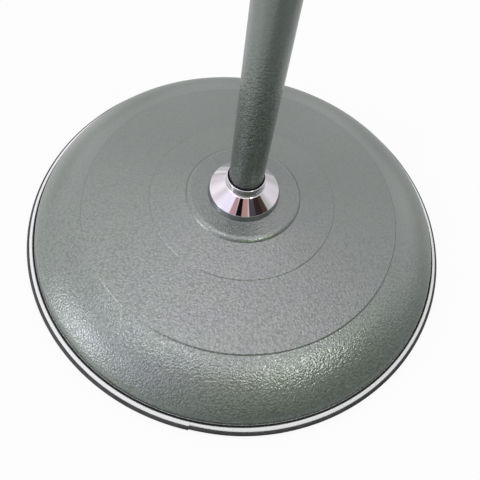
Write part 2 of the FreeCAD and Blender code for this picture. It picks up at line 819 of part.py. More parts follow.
def make_ballast_fixings():
    """Studs welded under the plate, with their washers and nuts in the hub's pocket."""
    studs = new_body("ballast_studs")
    end = stud_nut_bottom - thread_end
    outline = [
        (stud_circle, end),
        (stud_circle + stud_radius, end),
        (stud_circle + stud_radius, plate_bottom),
        (stud_circle, plate_bottom),
    ]
    stud = turned(studs, "stud", outline, upright_axis(stud_circle, end, plate_bottom))
    in_a_ring(studs, stud, stud_count)
    bore = stud_radius + thread_clearance
    washer_ring("ballast_washers", stud_circle, stud_count, bore, stud_washer_radius,
                stud_washer_bottom, hub_underside)
    washer_ring("ballast_split_washers", stud_circle, stud_count, bore,
                stud_radius + spring_washer_wall, stud_spring_bottom, stud_washer_bottom,
                spring_washer_turn)
    nut_ring("ballast_nuts", stud_circle, stud_count, stud_nut_flats, bore, stud_nut_bottom,
             stud_nut_height)


def make_bottom_plate():
    """The sheet that closes the underside, dished in the middle."""
    body = new_body("bottom_plate")
    swage_half = bottom_swage_width / 2
    face = [
        (ZERO, bottom_dish_rise),
        (bottom_dish_radius, bottom_dish_rise),
        (bottom_dish_edge, ZERO),
        (bottom_swage_radius - swage_half - bottom_swage_rise, ZERO),
        (bottom_swage_radius - swage_half, bottom_swage_rise),
        (bottom_swage_radius + swage_half, bottom_swage_rise),
        (bottom_swage_radius + swage_half + bottom_swage_rise, ZERO),
        (bottom_plate_radius, ZERO),
    ]
    under = [(across, bottom_plate_under + rise) for across, rise in face]
    upper = [(across, ballast_bottom + rise) for across, rise in reversed(face)]
    turned(body, "bottom_sheet", under + upper)
    plate_hole = drilled(body, "sheet_hole", (bottom_screw_circle, ZERO),
                         bottom_screw_radius + screw_hole_clearance, ballast_bottom,
                         bottom_plate_wall)
    in_a_ring(body, plate_hole, bottom_screw_count)
    foot_hole = drilled(body, "sheet_foot_hole", polar(foot_circle, foot_turn),
                        foot_screw_radius + screw_hole_clearance, ballast_bottom,
                        bottom_plate_wall)
    in_a_ring(body, foot_hole, bottom_screw_count)


def pan_head_screws(label, circle, radius, head, head_height, seat, reach):
    """A ring of pan head screws that point up from their seat."""
    body = new_body(label)
    tip = seat + reach
    crown = head_height / 2
    outline = [
        (circle, seat - head_height),
        (circle + head - crown, seat - head_height),
        (circle + head, seat - crown),
        (circle + head, seat),
        (circle + radius, seat),
        (circle + radius, tip),
        (circle, tip),
    ]
    axis = upright_axis(circle, seat - head_height, tip)
    in_a_ring(body, turned(body, label + "_turned", outline, axis), bottom_screw_count)
    return body


def make_feet():
    """Rubber pads with a recess for their screws."""
    body = new_body("foot_pads")
    hole = foot_screw_radius + screw_hole_clearance
    outline = [
        (foot_circle + hole, foot_recess_depth),
        (foot_circle + foot_recess_radius, foot_recess_depth),
        (foot_circle + foot_recess_radius, ZERO),
        (foot_circle + foot_radius - foot_taper, ZERO),
        (foot_circle + foot_radius, foot_taper),
        (foot_circle + foot_radius, bottom_plate_under),
        (foot_circle + hole, bottom_plate_under),
    ]
    axis = upright_axis(foot_circle, ZERO, bottom_plate_under)
    in_a_ring(body, turned(body, "foot_pad", outline, axis), bottom_screw_count)
    bind(body, "Placement.Rotation.Angle", foot_turn)
    seat_to_ballast = ballast_bottom - foot_recess_depth
    screws = pan_head_screws("foot_screws", foot_circle, foot_screw_radius, foot_screw_head,
                             foot_screw_head_height, foot_recess_depth,
                             seat_to_ballast + foot_screw_reach)
    bind(screws, "Placement.Rotation.Angle", foot_turn)


make_base_shell()
make_edge_moulding()
make_edge_bead()
make_reinforcing_plate()
make_column_gasket()
make_column_flange()
make_flange_screws()
make_flange_nuts()
make_column_tube()
make_pin("foot_pin", foot_pin_level)
make_pin("top_pin", top_pin_level)
make_top_plug()
make_collar()
make_collar_bush()
make_ballast()
make_ballast_fixings()
make_bottom_plate()
pan_head_screws("bottom_screws", bottom_screw_circle, bottom_screw_radius, bottom_screw_head,
                bottom_screw_head_height, bottom_plate_under,
                bottom_plate_wall + bottom_screw_reach)
make_feet()

doc.recompute()

bodies = [thing for thing in doc.Objects if thing.TypeId == "PartDesign::Body"]
faults = [thing.Name for thing in doc.Objects if {"Invalid", "Error"} & set(thing.State)]
for body in bodies:
    if body.Shape.isNull() or not body.Shape.isValid() or not body.Shape.Solids:
        faults.append(body.Label)
if faults:
    raise RuntimeError("not built: %s" % ", ".join(faults))

os.makedirs("parts", exist_ok=True)
for body in bodies:
    body.Shape.exportStep("parts/%s.step" % body.Label)
    print("%-22s %2d solids %12.1f mm3" % (body.Label, len(body.Shape.Solids), body.Shape.Volume))
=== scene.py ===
"""Looks of the weighted pedestal stand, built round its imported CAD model."""

import math

import bmesh
import bpy
from mathutils import Matrix, Vector


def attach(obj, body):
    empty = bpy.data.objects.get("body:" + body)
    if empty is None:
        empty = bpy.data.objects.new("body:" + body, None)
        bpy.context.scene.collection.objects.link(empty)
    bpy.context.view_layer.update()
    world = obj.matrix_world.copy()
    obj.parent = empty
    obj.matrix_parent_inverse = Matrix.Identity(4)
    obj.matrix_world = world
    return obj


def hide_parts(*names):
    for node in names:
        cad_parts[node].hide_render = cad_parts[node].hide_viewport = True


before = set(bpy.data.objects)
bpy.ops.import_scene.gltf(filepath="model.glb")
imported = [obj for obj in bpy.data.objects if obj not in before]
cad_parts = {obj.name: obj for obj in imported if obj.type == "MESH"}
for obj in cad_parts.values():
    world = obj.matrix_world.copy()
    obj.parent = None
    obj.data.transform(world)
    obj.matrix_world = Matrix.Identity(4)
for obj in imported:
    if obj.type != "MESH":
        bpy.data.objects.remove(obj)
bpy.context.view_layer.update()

MM = 0.001

# Cells to a metre in the enamel: its grain, the specks of its colour and its metal flakes
GRAIN = 1.0 / 0.0017
SPECKS = 1.0 / 0.0021
FLAKE = 1.0 / 0.0011

# Sizes and levels in millimetres that more than one piece uses
BOSS_TOP = 55.6
RIM_RADIUS = 195.7
BEAD_INNER, BEAD_OUTER = 194.2, 197.2
BEAD_HIGH, BEAD_LOW = 6.6, 4.9
COLUMN_RADIUS, COLUMN_BORE = 15.0, 13.5
COLUMN_FOOT, COLUMN_TOP = 60.4, 447.0
PIN_RADIUS = 2.0
FOOT_PIN_LEVEL, PLUG_PIN_LEVEL = 66.0, 428.0
COLLAR_BORE, BUSH_BORE = 16.2, 15.3
BUSH_SEAT = 71.2
FLANGE_CIRCLE, SHEET_CIRCLE, PAD_CIRCLE = 21, 130, 160
PAD_BEARING = 45
PAD_RECESS = 2.2


# Values and nodes

def shade(red, green, blue):
    """A colour as a screen shows it, 0 to 255, in the linear form that shaders take."""
    parts = []
    for part in (red, green, blue):
        part = part / 255
        parts.append(part / 12.92 if part <= 0.04045 else ((part + 0.055) / 1.055) ** 2.4)
    return (*parts, 1.0)


class Value:
    """A node's output. Python's operators on it add Math nodes."""

    def __init__(self, tree, socket):
        self.tree = tree
        self.socket = socket

    def math(self, operation, *terms):
        """A Math node with numbers or Values as its terms."""
        return self.tree.node("ShaderNodeMath", {"operation": operation}, dict(enumerate(terms)))

    def __add__(self, other):
        return self.math("ADD", self, other)

    def __radd__(self, other):
        return self.math("ADD", other, self)

    def __sub__(self, other):
        return self.math("SUBTRACT", self, other)

    def __rsub__(self, other):
        return self.math("SUBTRACT", other, self)

    def __mul__(self, other):
        return self.math("MULTIPLY", self, other)

    def __rmul__(self, other):
        return self.math("MULTIPLY", other, self)

    def other(self, out):
        """Another output of the same node."""
        return Value(self.tree, self.socket.node.outputs[out])

    def between(self, low, high, start=0.0, end=1.0):
        """A smooth change from start to end while the value goes from low to high."""
        return self.tree.node("ShaderNodeMapRange", {"interpolation_type": "SMOOTHSTEP"}, {
            "Value": self, "From Min": low, "From Max": high, "To Min": start, "To Max": end})


class Tree:
    """A node tree that is written as calls and expressions."""

    def __init__(self, tree):
        self.tree = tree
        tree.nodes.clear()

    def node(self, kind, settings=None, values=None, out=0):
        """A node of a type, with its settings and the values or links of its sockets."""
        made = self.tree.nodes.new(kind)
        for key, setting in (settings or {}).items():
            setattr(made, key, setting)
        for key, value in (values or {}).items():
            if isinstance(value, Value):
                self.tree.links.new(value.socket, made.inputs[key])
            else:
                made.inputs[key].default_value = value
        return Value(self, made.outputs[out]) if made.outputs else made

    def mixed(self, factor, first, second):
        """One colour turning into another as factor goes from 0 to 1."""
        return self.node("ShaderNodeMix", {"data_type": "RGBA"}, {0: factor, 6: first, 7: second},
                         out=2)

    def noise(self, place, scale, detail=2.0, roughness=0.5, out=0):
        """A soft random pattern, as a number or, from output 1, as a vector."""
        return self.node("ShaderNodeTexNoise", None, {
            "Vector": place, "Scale": scale, "Detail": detail, "Roughness": roughness}, out)

    def cells(self, place, scale, feature="F1", smoothness=None, out=0):
        """A pattern of cells: the distance from a cell's middle or, from output 1, its colour."""
        values = {"Vector": place, "Scale": scale}
        if smoothness is not None:
            values["Smoothness"] = smoothness
        return self.node("ShaderNodeTexVoronoi", {"feature": feature}, values, out)

    def flakes(self, place, scale):
        """A random number for each cell."""
        return self.node("ShaderNodeSeparateColor", None, {0: self.cells(place, scale, out=1)})

    def stretched(self, place, scale):
        """The place with each of its axes multiplied, for streaks and grain with a direction."""
        return self.node("ShaderNodeVectorMath", {"operation": "MULTIPLY"}, {0: place, 1: scale})

    def shifted(self, place, other, amount):
        """The place moved about by another vector, for wandering patterns."""
        push = self.node("ShaderNodeVectorMath", {"operation": "SCALE"},
                         {0: other, "Scale": amount})
        return self.node("ShaderNodeVectorMath", {"operation": "ADD"}, {0: place, 1: push})

    def apart(self, place):
        """A place's three coordinates."""
        split = self.node("ShaderNodeSeparateXYZ", None, {0: place})
        return [split.other(axis) for axis in range(3)]

    def rays(self):
        """Whether a ray comes from the camera, off a gloss and through glass."""
        seen = self.node("ShaderNodeLightPath", out="Is Camera Ray")
        return seen, seen.other("Is Glossy Ray"), seen.other("Is Transmission Ray")


class Finish(Tree):
    """A material with one Principled shader, whose patterns follow the object's own places."""

    def __init__(self, name):
        self.data = bpy.data.materials.new(name)
        self.data.use_nodes = True
        super().__init__(self.data.node_tree)
        self.place = self.node("ShaderNodeTexCoord", out=3)

    def rise(self, height, depth, strength=1.0):
        """A normal bent by a height from 0 to 1, whose full rise is a depth in millimetres."""
        return self.node("ShaderNodeBump", None, {
            "Height": height, "Distance": depth * MM, "Strength": strength})

    def surface(self, **values):
        """The shader and the output, with the shader's sockets named as words."""
        sockets = {key.replace("_", " "): value for key, value in values.items()}
        shader = self.node("ShaderNodeBsdfPrincipled", None, sockets)
        self.node("ShaderNodeOutputMaterial", None, {"Surface": shader})
        return self


# Finishes

def hammertone_paint(name, depth, coat, axis, strong, weak, most, least):
    """Stoved enamel in grey green with metal flake, drawn into a leathery grain.

    Depth darkens its colour towards near black as painted shade; the column's copy is darkened
    so, as a shaded copy of the same paint. Coat adds clear lacquer. Along an axis, the grain
    falls from most at the strong place to least at the weak one.
    """
    paint = Finish(name)
    relief = paint.apart(paint.place)[axis].between(strong, weak, most, least)
    wander = paint.noise(paint.place, 300.0, out=1)
    place = paint.shifted(paint.place, wander, 1.6 * MM)
    grain = paint.cells(place, GRAIN, "SMOOTH_F1", 0.4)
    fine = paint.noise(paint.place, 1100.0)
    broad = paint.noise(paint.place, 45.0).between(0.3, 0.7)
    flake = paint.flakes(paint.place, FLAKE)
    height = ((1 - grain) * 0.85 + fine * 0.15) * relief
    specks = paint.cells(place, SPECKS).between(0.25, 0.8)
    plain = paint.mixed(broad, shade(167, 174, 170), shade(167, 176, 167))
    spread = (specks - 0.5) * 0.25 + (flake - 0.5) * 0.15
    worked = paint.mixed(spread * relief + 0.5, plain, shade(94, 101, 95))
    colour = paint.mixed(depth, worked, shade(20, 26, 21))
    return paint.surface(
        Base_Color=colour, Roughness=0.25 + 0.1 * fine, Metallic=0.9, Coat_Weight=coat,
        Coat_Roughness=0.15, Normal=paint.rise(height, 0.36))


def bright_plate():
    """Chrome on a spun pressing: near mirror, with faint lines of spinning, and its lip painted
    darker as painted shade and reflection.
    """
    plate = Finish("bright_plate")
    lines = plate.noise(plate.stretched(plate.place, (40.0, 40.0, 5200.0)), 1.0)
    haze = plate.noise(plate.place, 60.0, 3.0)
    # Painted shade: the lip below 60.2 mm darkened in colour, for its dark reflection and the
    # shade at the collar's foot
    foot = plate.apart(plate.place)[2].between(60.2 * MM, 60.7 * MM, 1.0, 0.0)
    chrome_tone = plate.mixed(haze, shade(216, 213, 216), shade(222, 219, 223))
    return plate.surface(
        Base_Color=plate.mixed(foot, chrome_tone, shade(176, 176, 182)), Metallic=1.0,
        Roughness=0.02 + 0.04 * haze, Normal=plate.rise(lines, 0.003, 0.5))


def bead_film():
    """Bright metallised film on the bead, faintly streaked along its length."""
    film = Finish("bead_film")
    streaks = film.noise(film.stretched(film.place, (60.0, 60.0, 2500.0)), 1.0, 3.0)
    wear = film.noise(film.place, 90.0, 3.0)
    return film.surface(
        Base_Color=film.mixed(wear, shade(221, 226, 221), shade(231, 236, 231)), Metallic=0.0,
        Roughness=0.24 + 0.14 * streaks, Normal=film.rise(streaks, 0.01, 0.4))


def black_rubber():
    """Soft black rubber with a bloom of dust and a fine moulded skin."""
    rubber = Finish("black_rubber")
    skin = rubber.noise(rubber.place, 1500.0, 3.0)
    dust = rubber.noise(rubber.place, 120.0, 4.0, 0.6).between(0.35, 0.75)
    return rubber.surface(
        Base_Color=rubber.mixed(dust, shade(43, 43, 45), shade(60, 60, 62)), Metallic=0.0,
        Roughness=0.5 + 0.2 * skin, Normal=rubber.rise(skin, 0.04, 0.6))


def black_nylon():
    """Turned black nylon."""
    nylon = Finish("black_nylon")
    lines = nylon.noise(nylon.stretched(nylon.place, (50.0, 50.0, 3000.0)), 1.0)
    return nylon.surface(
        Base_Color=nylon.mixed(lines, shade(22, 22, 24), shade(34, 34, 36)), Metallic=0.0,
        Roughness=0.38 + 0.15 * lines, Normal=nylon.rise(lines, 0.02, 0.5))


def gasket_rubber():
    """Fibre reinforced gasket sheet."""
    gasket = Finish("gasket_rubber")
    fibres = gasket.noise(gasket.place, 1800.0, 4.0, 0.7)
    return gasket.surface(
        Base_Color=gasket.mixed(fibres, shade(38, 38, 38), shade(66, 64, 60)), Metallic=0.0,
        Roughness=0.8 + 0.1 * fibres, Normal=gasket.rise(fibres, 0.05, 0.6))


def turned_metal(name, low, high, rough):
    """Metal from a lathe or a die, with fine lines across its axis and a patchy oxide."""
    metal = Finish(name)
    lines = metal.noise(metal.stretched(metal.place, (90.0, 90.0, 2600.0)), 1.0)
    patches = metal.noise(metal.place, 75.0, 4.0, 0.6)
    return metal.surface(
        Base_Color=metal.mixed(patches, low, high), Metallic=1.0,
        Roughness=rough - 0.08 + 0.16 * lines + 0.06 * patches,
        Normal=metal.rise(lines, 0.02, 0.5))


def grey_iron():
    """A sand casting: coarse skin, dull and dark, with a little brown rust."""
    iron = Finish("grey_iron")
    sand = iron.noise(iron.place, 800.0, 4.0, 0.65)
    swell = iron.noise(iron.place, 60.0)
    rust = iron.noise(iron.place, 130.0, 5.0, 0.65).between(0.56, 0.72)
    skin = iron.mixed(sand, shade(58, 58, 60), shade(84, 84, 86))
    return iron.surface(
        Base_Color=iron.mixed(rust * 0.6, skin, shade(104, 72, 52)), Metallic=0.45,
        Roughness=0.62 + 0.2 * sand, Normal=iron.rise(sand * 0.7 + swell * 0.3, 0.35, 0.8))


def zinc_sheet():
    """Galvanised sheet with its spangle."""
    sheet = Finish("zinc_sheet")
    spangle = sheet.flakes(sheet.place, 110.0)
    edge = sheet.cells(sheet.place, 110.0, "DISTANCE_TO_EDGE").between(0.0, 0.04)
    feather = sheet.noise(sheet.stretched(sheet.place, (900.0, 300.0, 900.0)), 1.0, 3.0)
    tone = spangle * 0.7 + feather * 0.3
    return sheet.surface(
        Base_Color=sheet.mixed(tone, shade(150, 154, 158), shade(196, 199, 202)), Metallic=0.85,
        Roughness=0.34 + 0.22 * tone - 0.05 * edge,
        Normal=sheet.rise(edge * 0.6 + feather * 0.4, 0.02, 0.4))


PAINT = hammertone_paint("base_hammertone", depth=0.0, coat=0.0, axis=1,
                         strong=-0.13, weak=0.05, most=1.0, least=0.22)
# Painted shade: the column's paint is the base's paint darkened by depth, a shaded copy
COLUMN_PAINT = hammertone_paint("column_hammertone_shaded", depth=0.21, coat=0.6, axis=2,
                                strong=0.15, weak=0.24, most=1.3, least=0.3)
PLATE = bright_plate()
FILM = bead_film()
RUBBER = black_rubber()
NYLON = black_nylon()
GASKET = gasket_rubber()
STEEL = turned_metal("mild_steel", shade(112, 112, 114), shade(142, 141, 140), 0.38)
ZINC = turned_metal("zinc_plate", shade(168, 172, 178), shade(200, 202, 204), 0.28)
SPRING = turned_metal("dark_spring_steel", shade(46, 46, 50), shade(70, 69, 72), 0.4)
ALUMINIUM = turned_metal("turned_aluminium", shade(178, 179, 182), shade(204, 205, 207), 0.24)
IRON = grey_iron()
SHEET = zinc_sheet()


# Outlines and meshes
# An outline's corner is (radius, height) in millimetres. With two more numbers, an arc of that
# radius leads to the next corner, 1 for anticlockwise and -1 for clockwise.

# Degrees to a step of an arc, the least turn that is eased and the share of an edge it may take
ARC_STEP = 5
SHARP_ANGLE = 13
EASE_SHARE = 0.42

# Lengths that count as nothing, first in an outline's millimetres and then in a mesh's metres
NEAR, NO_EDGE = 1e-6, 1e-9
SAME_PLACE, NO_LENGTH = 1e-7, 1e-8


def arc(start, end, radius, turn):
    """Points of an arc from start up to but not at end."""
    chord = end - start
    left = Vector((-chord.y, chord.x)).normalized()
    reach = math.sqrt(max(radius * radius - chord.length_squared / 4, 0.0))
    centre = (start + end) / 2 + left * reach * turn
    first = math.atan2(start.y - centre.y, start.x - centre.x)
    last = math.atan2(end.y - centre.y, end.x - centre.x)
    sweep = ((last - first) * turn) % math.tau
    steps = max(3, math.ceil(math.degrees(sweep) / ARC_STEP))
    angles = [first + turn * sweep * step / steps for step in range(steps)]
    return [centre + Vector((math.cos(angle), math.sin(angle))) * radius for angle in angles]


def divided(outline):
    """An outline's corners as points, with its arcs divided."""
    points = []
    for place, corner in enumerate(outline):
        start = Vector(corner[:2])
        end = Vector(outline[(place + 1) % len(outline)][:2])
        points += arc(start, end, *corner[2:]) if len(corner) == 4 else [start]
    return points


def eased(points, ease):
    """Points with each sharp corner between them rounded by up to ease."""
    soft = []
    for place, point in enumerate(points):
        before = point - points[place - 1]
        after = points[(place + 1) % len(points)] - point
        if before.length < NO_EDGE or after.length < NO_EDGE:
            continue
        if before.angle(after) < math.radians(SHARP_ANGLE) or point.x < NEAR:
            soft.append(point)
            continue
        reach = min(ease, before.length * EASE_SHARE, after.length * EASE_SHARE)
        first = point - before.normalized() * reach
        last = point + after.normalized() * reach
        for part in (0.0, 0.33, 0.67, 1.0):
            rest = 1 - part
            soft.append(first * rest ** 2 + point * (2 * part * rest) + last * part ** 2)
    return soft


def lathe(outline, segments, ease, start=0.0, sweep=360.0, shape=None):
    """A solid of revolution about the upright axis. Shape may move its points at each turn."""
    points = eased(divided(outline), ease)
    whole = sweep >= 360
    made = bmesh.new()
    rings = []
    for step in range(segments if whole else segments + 1):
        turn = sweep * step / segments
        angle = math.radians(start + turn)
        ring = []
        for point in points:
            across, up = shape(point.x, point.y, turn) if shape else point
            ring.append(made.verts.new(
                (across * math.cos(angle) * MM, across * math.sin(angle) * MM, up * MM)))
        rings.append(ring)
    count = len(points)
    for step in range(segments):
        here = rings[step]
        there = rings[(step + 1) % len(rings)]
        for place in range(count):
            after = (place + 1) % count
            if points[place].x > NEAR or points[after].x > NEAR:
                made.faces.new((here[place], here[after], there[after], there[place]))
    if not whole:
        made.faces.new(rings[0])
        made.faces.new(rings[-1])
    bmesh.ops.remove_doubles(made, verts=made.verts, dist=SAME_PLACE)
    bmesh.ops.dissolve_degenerate(made, edges=made.edges, dist=NO_LENGTH)
    bmesh.ops.recalc_face_normals(made, faces=made.faces)
    return made


def moved(mesh, matrix):
    """The mesh itself, once it is moved."""
    bmesh.ops.transform(mesh, matrix=matrix, verts=mesh.verts)
    return mesh


def offset(mesh, across, up):
    """The mesh moved along X and up, in millimetres."""
    return moved(mesh, Matrix.Translation((across * MM, 0, up * MM)))


def turned(mesh, angle, axis="Z"):
    """The mesh turned about an axis, in degrees."""
    return moved(mesh, Matrix.Rotation(math.radians(angle), 4, axis))


def joined(meshes):
    """Several meshes as one."""
    whole = bmesh.new()
    for mesh in meshes:
        held = bpy.data.meshes.new("held")
        mesh.to_mesh(held)
        whole.from_mesh(held)
        bpy.data.meshes.remove(held)
        mesh.free()
    return whole


def cut(mesh, cutter):
    """The mesh with the cutter's space taken out."""
    objects = []
    for part in (mesh, cutter):
        held = bpy.data.meshes.new("held")
        part.to_mesh(held)
        part.free()
        objects.append(bpy.data.objects.new("held", held))
        bpy.context.collection.objects.link(objects[-1])
    tool = objects[0].modifiers.new("cut", "BOOLEAN")
    tool.operation = "DIFFERENCE"
    tool.solver = "EXACT"
    tool.object = objects[1]
    bpy.context.view_layer.update()
    result = objects[0].evaluated_get(bpy.context.evaluated_depsgraph_get())
    left = bmesh.new()
    left.from_mesh(result.to_mesh())
    for held in objects:
        mesh_data = held.data
        bpy.data.objects.remove(held)
        bpy.data.meshes.remove(mesh_data)
    return left


def rod(radius, low, high, segments=48):
    """A plain cylinder on the upright axis, used to cut holes."""
    return lathe([(0, low), (radius, low), (radius, high), (0, high)], segments, 0.0)


def pin_hole(level, segments=48):
    """The space of a cross pin at a level of the column."""
    return offset(turned(rod(PIN_RADIUS, -20, 20, segments), 90, "Y"), 0, level)


def piece(name, mesh, finish, slot, *nodes, body="stand", crease=38):
    """Adds a mesh to the scene in place of CAD nodes."""
    data = bpy.data.meshes.new(name)
    mesh.to_mesh(data)
    mesh.free()
    data.materials.append(finish.data)
    data.shade_smooth()
    data.set_sharp_from_angle(angle=math.radians(crease))
    made = bpy.data.objects.new(name, data)
    bpy.context.collection.objects.link(made)
    normals = made.modifiers.new("even_normals", "WEIGHTED_NORMAL")
    normals.keep_sharp = True
    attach(made, body)
    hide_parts(*nodes)
    return made


# Base

def painted_shell():
    """The pressed dome, outside and in: boss, stepped rings, crown, shoulder, skirt and rim."""
    outline = [
        (9, BOSS_TOP),
        (47, BOSS_TOP, 6.182, -1),
        (52.3, 52.6),
        (84.45, 47.85),
        (85.05, 47.15),
        (144.75, 40.12),
        (145.9, 38.98, 78, -1),
        (187.4, 17.35, 17.5, -1),
        (192.0, 7.3, 0.4, 1),
        (192.5, 7.1),
        (192.6, 6.4),
        (192.9, 6.1),
        (192.9, 4.6),
        (RIM_RADIUS, 4.6),
        (RIM_RADIUS, 3.4),
        (191.2, 3.4),
        (191.2, 6.2, 16.3, 1),
        (186.55, 16.5, 76.8, 1),
        (145.8, 37.8),
        (144.9, 38.9),
        (85.2, 46.0),
        (84.3, 46.6),
        (51.1, 51.4, 4.302, 1),
        (47, 54.4),
        (9, 54.4),
    ]
    shell = lathe(outline, 360, 0.3)
    for quarter in range(4):
        shell = cut(shell, turned(offset(rod(3.3, 50, 60), FLANGE_CIRCLE, 0), 90 * quarter))
    return piece("painted_shell", shell, PAINT, "hammertone_paint", "base_shell")


# The butt joint in the edge: its bearing and its gap in degrees, and how its start is drawn in
JOINT = -93.25
JOINT_GAP = 0.03
PULL, PULL_REACH = 0.75, 9.0
PULL_FROM, PULL_WIDTH = 195.9, 1.2


def drawn_in(across, up, turn):
    """The edge's outer part, pulled in a little where it starts beside the joint."""
    pull = PULL * math.exp(-(turn / PULL_REACH) ** 2)
    return across - pull * min(max((across - PULL_FROM) / PULL_WIDTH, 0.0), 1.0), up


def rubber_edge():
    """The channel moulding on the rim, with its lip, foot and outer lip under the bead."""
    outline = [
        (193.2, 4.7),
        (195.8, 4.7),
        (195.8, 3.3),
        (193.2, 3.3),
        (193.2, 2.8),
        (194.8, 1.6),
        (198.4, 1.6, 1.6, 1),
        (200, 3.2, 4, 1),
        (197.3, 5.6),
        (BEAD_OUTER, BEAD_LOW),
        (BEAD_INNER, BEAD_HIGH),
        (194.1, 7.1),
        (193.8, 7.1),
        (193.2, 6.5),
    ]
    mesh = lathe(outline, 360, 0.15, JOINT, 360 - JOINT_GAP, drawn_in)
    return piece("rubber_edge", mesh, RUBBER, "black_rubber", "edge_moulding")


def bright_bead():
    """The half round bead in the moulding's groove."""
    outline = [
        (BEAD_OUTER, BEAD_LOW),
        (BEAD_OUTER, 5.2, 1.0, 1),
        (196.6, 6.2, 6, 1),
        (194.6, 7.15, 0.6, 1),
        (BEAD_INNER, 6.9),
        (BEAD_INNER, BEAD_HIGH),
    ]
    mesh = lathe(outline, 360, 0.05, JOINT, 360 - JOINT_GAP, drawn_in)
    return piece("bright_bead", mesh, FILM, "bead_film", "edge_bead")


# Column and collar

def painted_column():
    """The tube, with the holes of its two cross pins."""
    outline = [
        (COLUMN_BORE, COLUMN_FOOT),
        (COLUMN_RADIUS, COLUMN_FOOT),
        (COLUMN_RADIUS, COLUMN_TOP),
        (COLUMN_BORE, COLUMN_TOP),
    ]
    tube = lathe(outline, 192, 0.2)
    for level in (FOOT_PIN_LEVEL, PLUG_PIN_LEVEL):
        tube = cut(tube, pin_hole(level))
    return piece("painted_column", tube, COLUMN_PAINT, "hammertone_paint", "column_tube")


def chrome_collar():
    """The spun cover over the column's foot: lip, cone and short neck."""
    outline = [
        (32.1, BOSS_TOP),
        (32.6, 56.1),
        (31.0, 60.6),
        (18.4, 70.0, 1.8, -1),
        (17.2, 72.4),
        (17.2, 78.2),
        (16.8, 78.6),
        (COLLAR_BORE, 78.6),
        (COLLAR_BORE, BUSH_SEAT),
        (29.6, 60.1),
        (31.6, BOSS_TOP),
    ]
    mesh = lathe(outline, 256, 0.25)
    return piece("chrome_collar", mesh, PLATE, "bright_plate", "collar", body="collar")


def nylon_bush():
    """The sleeve in the collar's neck, which shows as a thin black ring."""
    outline = [
        (BUSH_BORE, BUSH_SEAT),
        (15.6, 70.9),
        (COLLAR_BORE, 70.9),
        (COLLAR_BORE, 77.9),
        (15.6, 77.9),
        (BUSH_BORE, 77.6),
    ]
    mesh = lathe(outline, 192, 0.1)
    return piece("nylon_bush", mesh, NYLON, "black_nylon", "collar_bush", body="collar")


def tapped_plug():
    """The plug that closes the column, with its thread cut as a real helix."""
    body = 13.45
    foot, bottom, mouth_foot, top = 422.0, 434.0, 449.2, 450.0
    bore, mouth = 5.1, 6.2
    pitch, groove_depth, groove_width = 1.75, 0.85, 0.44
    run_out, mouth_clear, fade_length = 0.9, 0.1, 1.5
    count = 144
    rows = [(bore, bottom + (mouth_foot - bottom) * row / count) for row in range(count)]
    outline = [
        (0, foot),
        (12.65, foot),
        (body, 422.8),
        (body, COLUMN_TOP),
        (COLUMN_RADIUS, COLUMN_TOP),
        (COLUMN_RADIUS, mouth_foot),
        (14.2, top),
        (mouth, top),
        (bore, mouth_foot),
    ] + rows[::-1] + [(0, bottom)]

    def thread(across, up, turn):
        """The bore's wall, pushed out into the groove."""
        if abs(across - bore) > NEAR:
            return across, up
        if up > mouth_foot - mouth_clear or up < bottom + run_out:
            return across, up
        phase = (up / pitch - turn / 360) % 1.0
        groove = max(0.0, 1 - abs(phase - 0.5) / groove_width)
        fade = min(1.0, (up - bottom - run_out) / fade_length)
        return across + groove_depth * groove * fade, up

    plug = cut(lathe(outline, 96, 0.0, shape=thread), pin_hole(PLUG_PIN_LEVEL, 32))
    return piece("tapped_plug", plug, ALUMINIUM, "turned_aluminium", "top_plug", crease=30)


# Screws with a cross recess

def cross_recess(arm, width, level, depth):
    """A tapered cross that sinks from a level, upwards where the depth is positive."""
    corners = []
    for quarter in range(4):
        turn = Matrix.Rotation(math.radians(90 * quarter), 2)
        for place in ((arm, -width), (arm, width), (width, width)):
            corners.append(turn @ Vector(place))
    made = bmesh.new()

    def ring(share, height):
        """The cross at a height, drawn in to a share of its size."""
        return [made.verts.new((p.x * share * MM, p.y * share * MM, height * MM))
                for p in corners]

    stand_off, taper = 0.3, 0.5
    mouth = ring(1.0, level - depth * stand_off)
    floor = ring(taper, level + depth)
    for place in range(len(corners)):
        after = (place + 1) % len(corners)
        made.faces.new((mouth[place], mouth[after], floor[after], floor[place]))
    made.faces.new(mouth)
    made.faces.new(floor)
    bmesh.ops.recalc_face_normals(made, faces=made.faces)
    return made


# Degrees by which each screw of a ring is turned further than the one before
RECESS_TURN = 37


def four_round(one, circle, first):
    """Four copies of a mesh on a circle about the upright axis, each turned a little further."""
    held = bpy.data.meshes.new("held")
    one.to_mesh(held)
    one.free()
    copies = []
    for quarter in range(4):
        copy = bmesh.new()
        copy.from_mesh(held)
        offset(turned(copy, RECESS_TURN * quarter), circle, 0)
        copies.append(turned(copy, first + 90 * quarter))
    bpy.data.meshes.remove(held)
    return joined(copies)


def pan_screws(name, node, circle, first, radius, head, head_height, seat, tip):
    """Pan head screws that point up, each head a low dome with a cross recess."""
    under = seat - head_height
    outline = [
        (0, under),
        (head * 0.5, under, head * 1.6, 1),
        (head, seat - head_height * 0.35),
        (head, seat),
        (radius, seat),
        (radius, tip - radius * 0.5),
        (radius * 0.5, tip),
        (0, tip),
    ]
    recess = cross_recess(head * 0.55, 0.45, under, head_height * 0.62)
    screw = cut(lathe(outline, 48, 0.15), recess)
    return piece(name, four_round(screw, circle, first), ZINC, "zinc_plate", node)


def sunk_screws():
    """The flange's countersunk screws, their heads level with its top."""
    shank, head = 3.0, 5.7
    tip, top = 33.6, 60.4
    outline = [
        (0, tip),
        (2.5, tip),
        (shank, 34.3),
        (shank, 57.6),
        (head, 60.2),
        (head, top),
        (0, top),
    ]
    screw = cut(lathe(outline, 48, 0.15), cross_recess(3.1, 0.55, top, -1.9))
    return piece("sunk_screws", four_round(screw, FLANGE_CIRCLE, 0), ZINC, "zinc_plate",
                 "flange_screws")


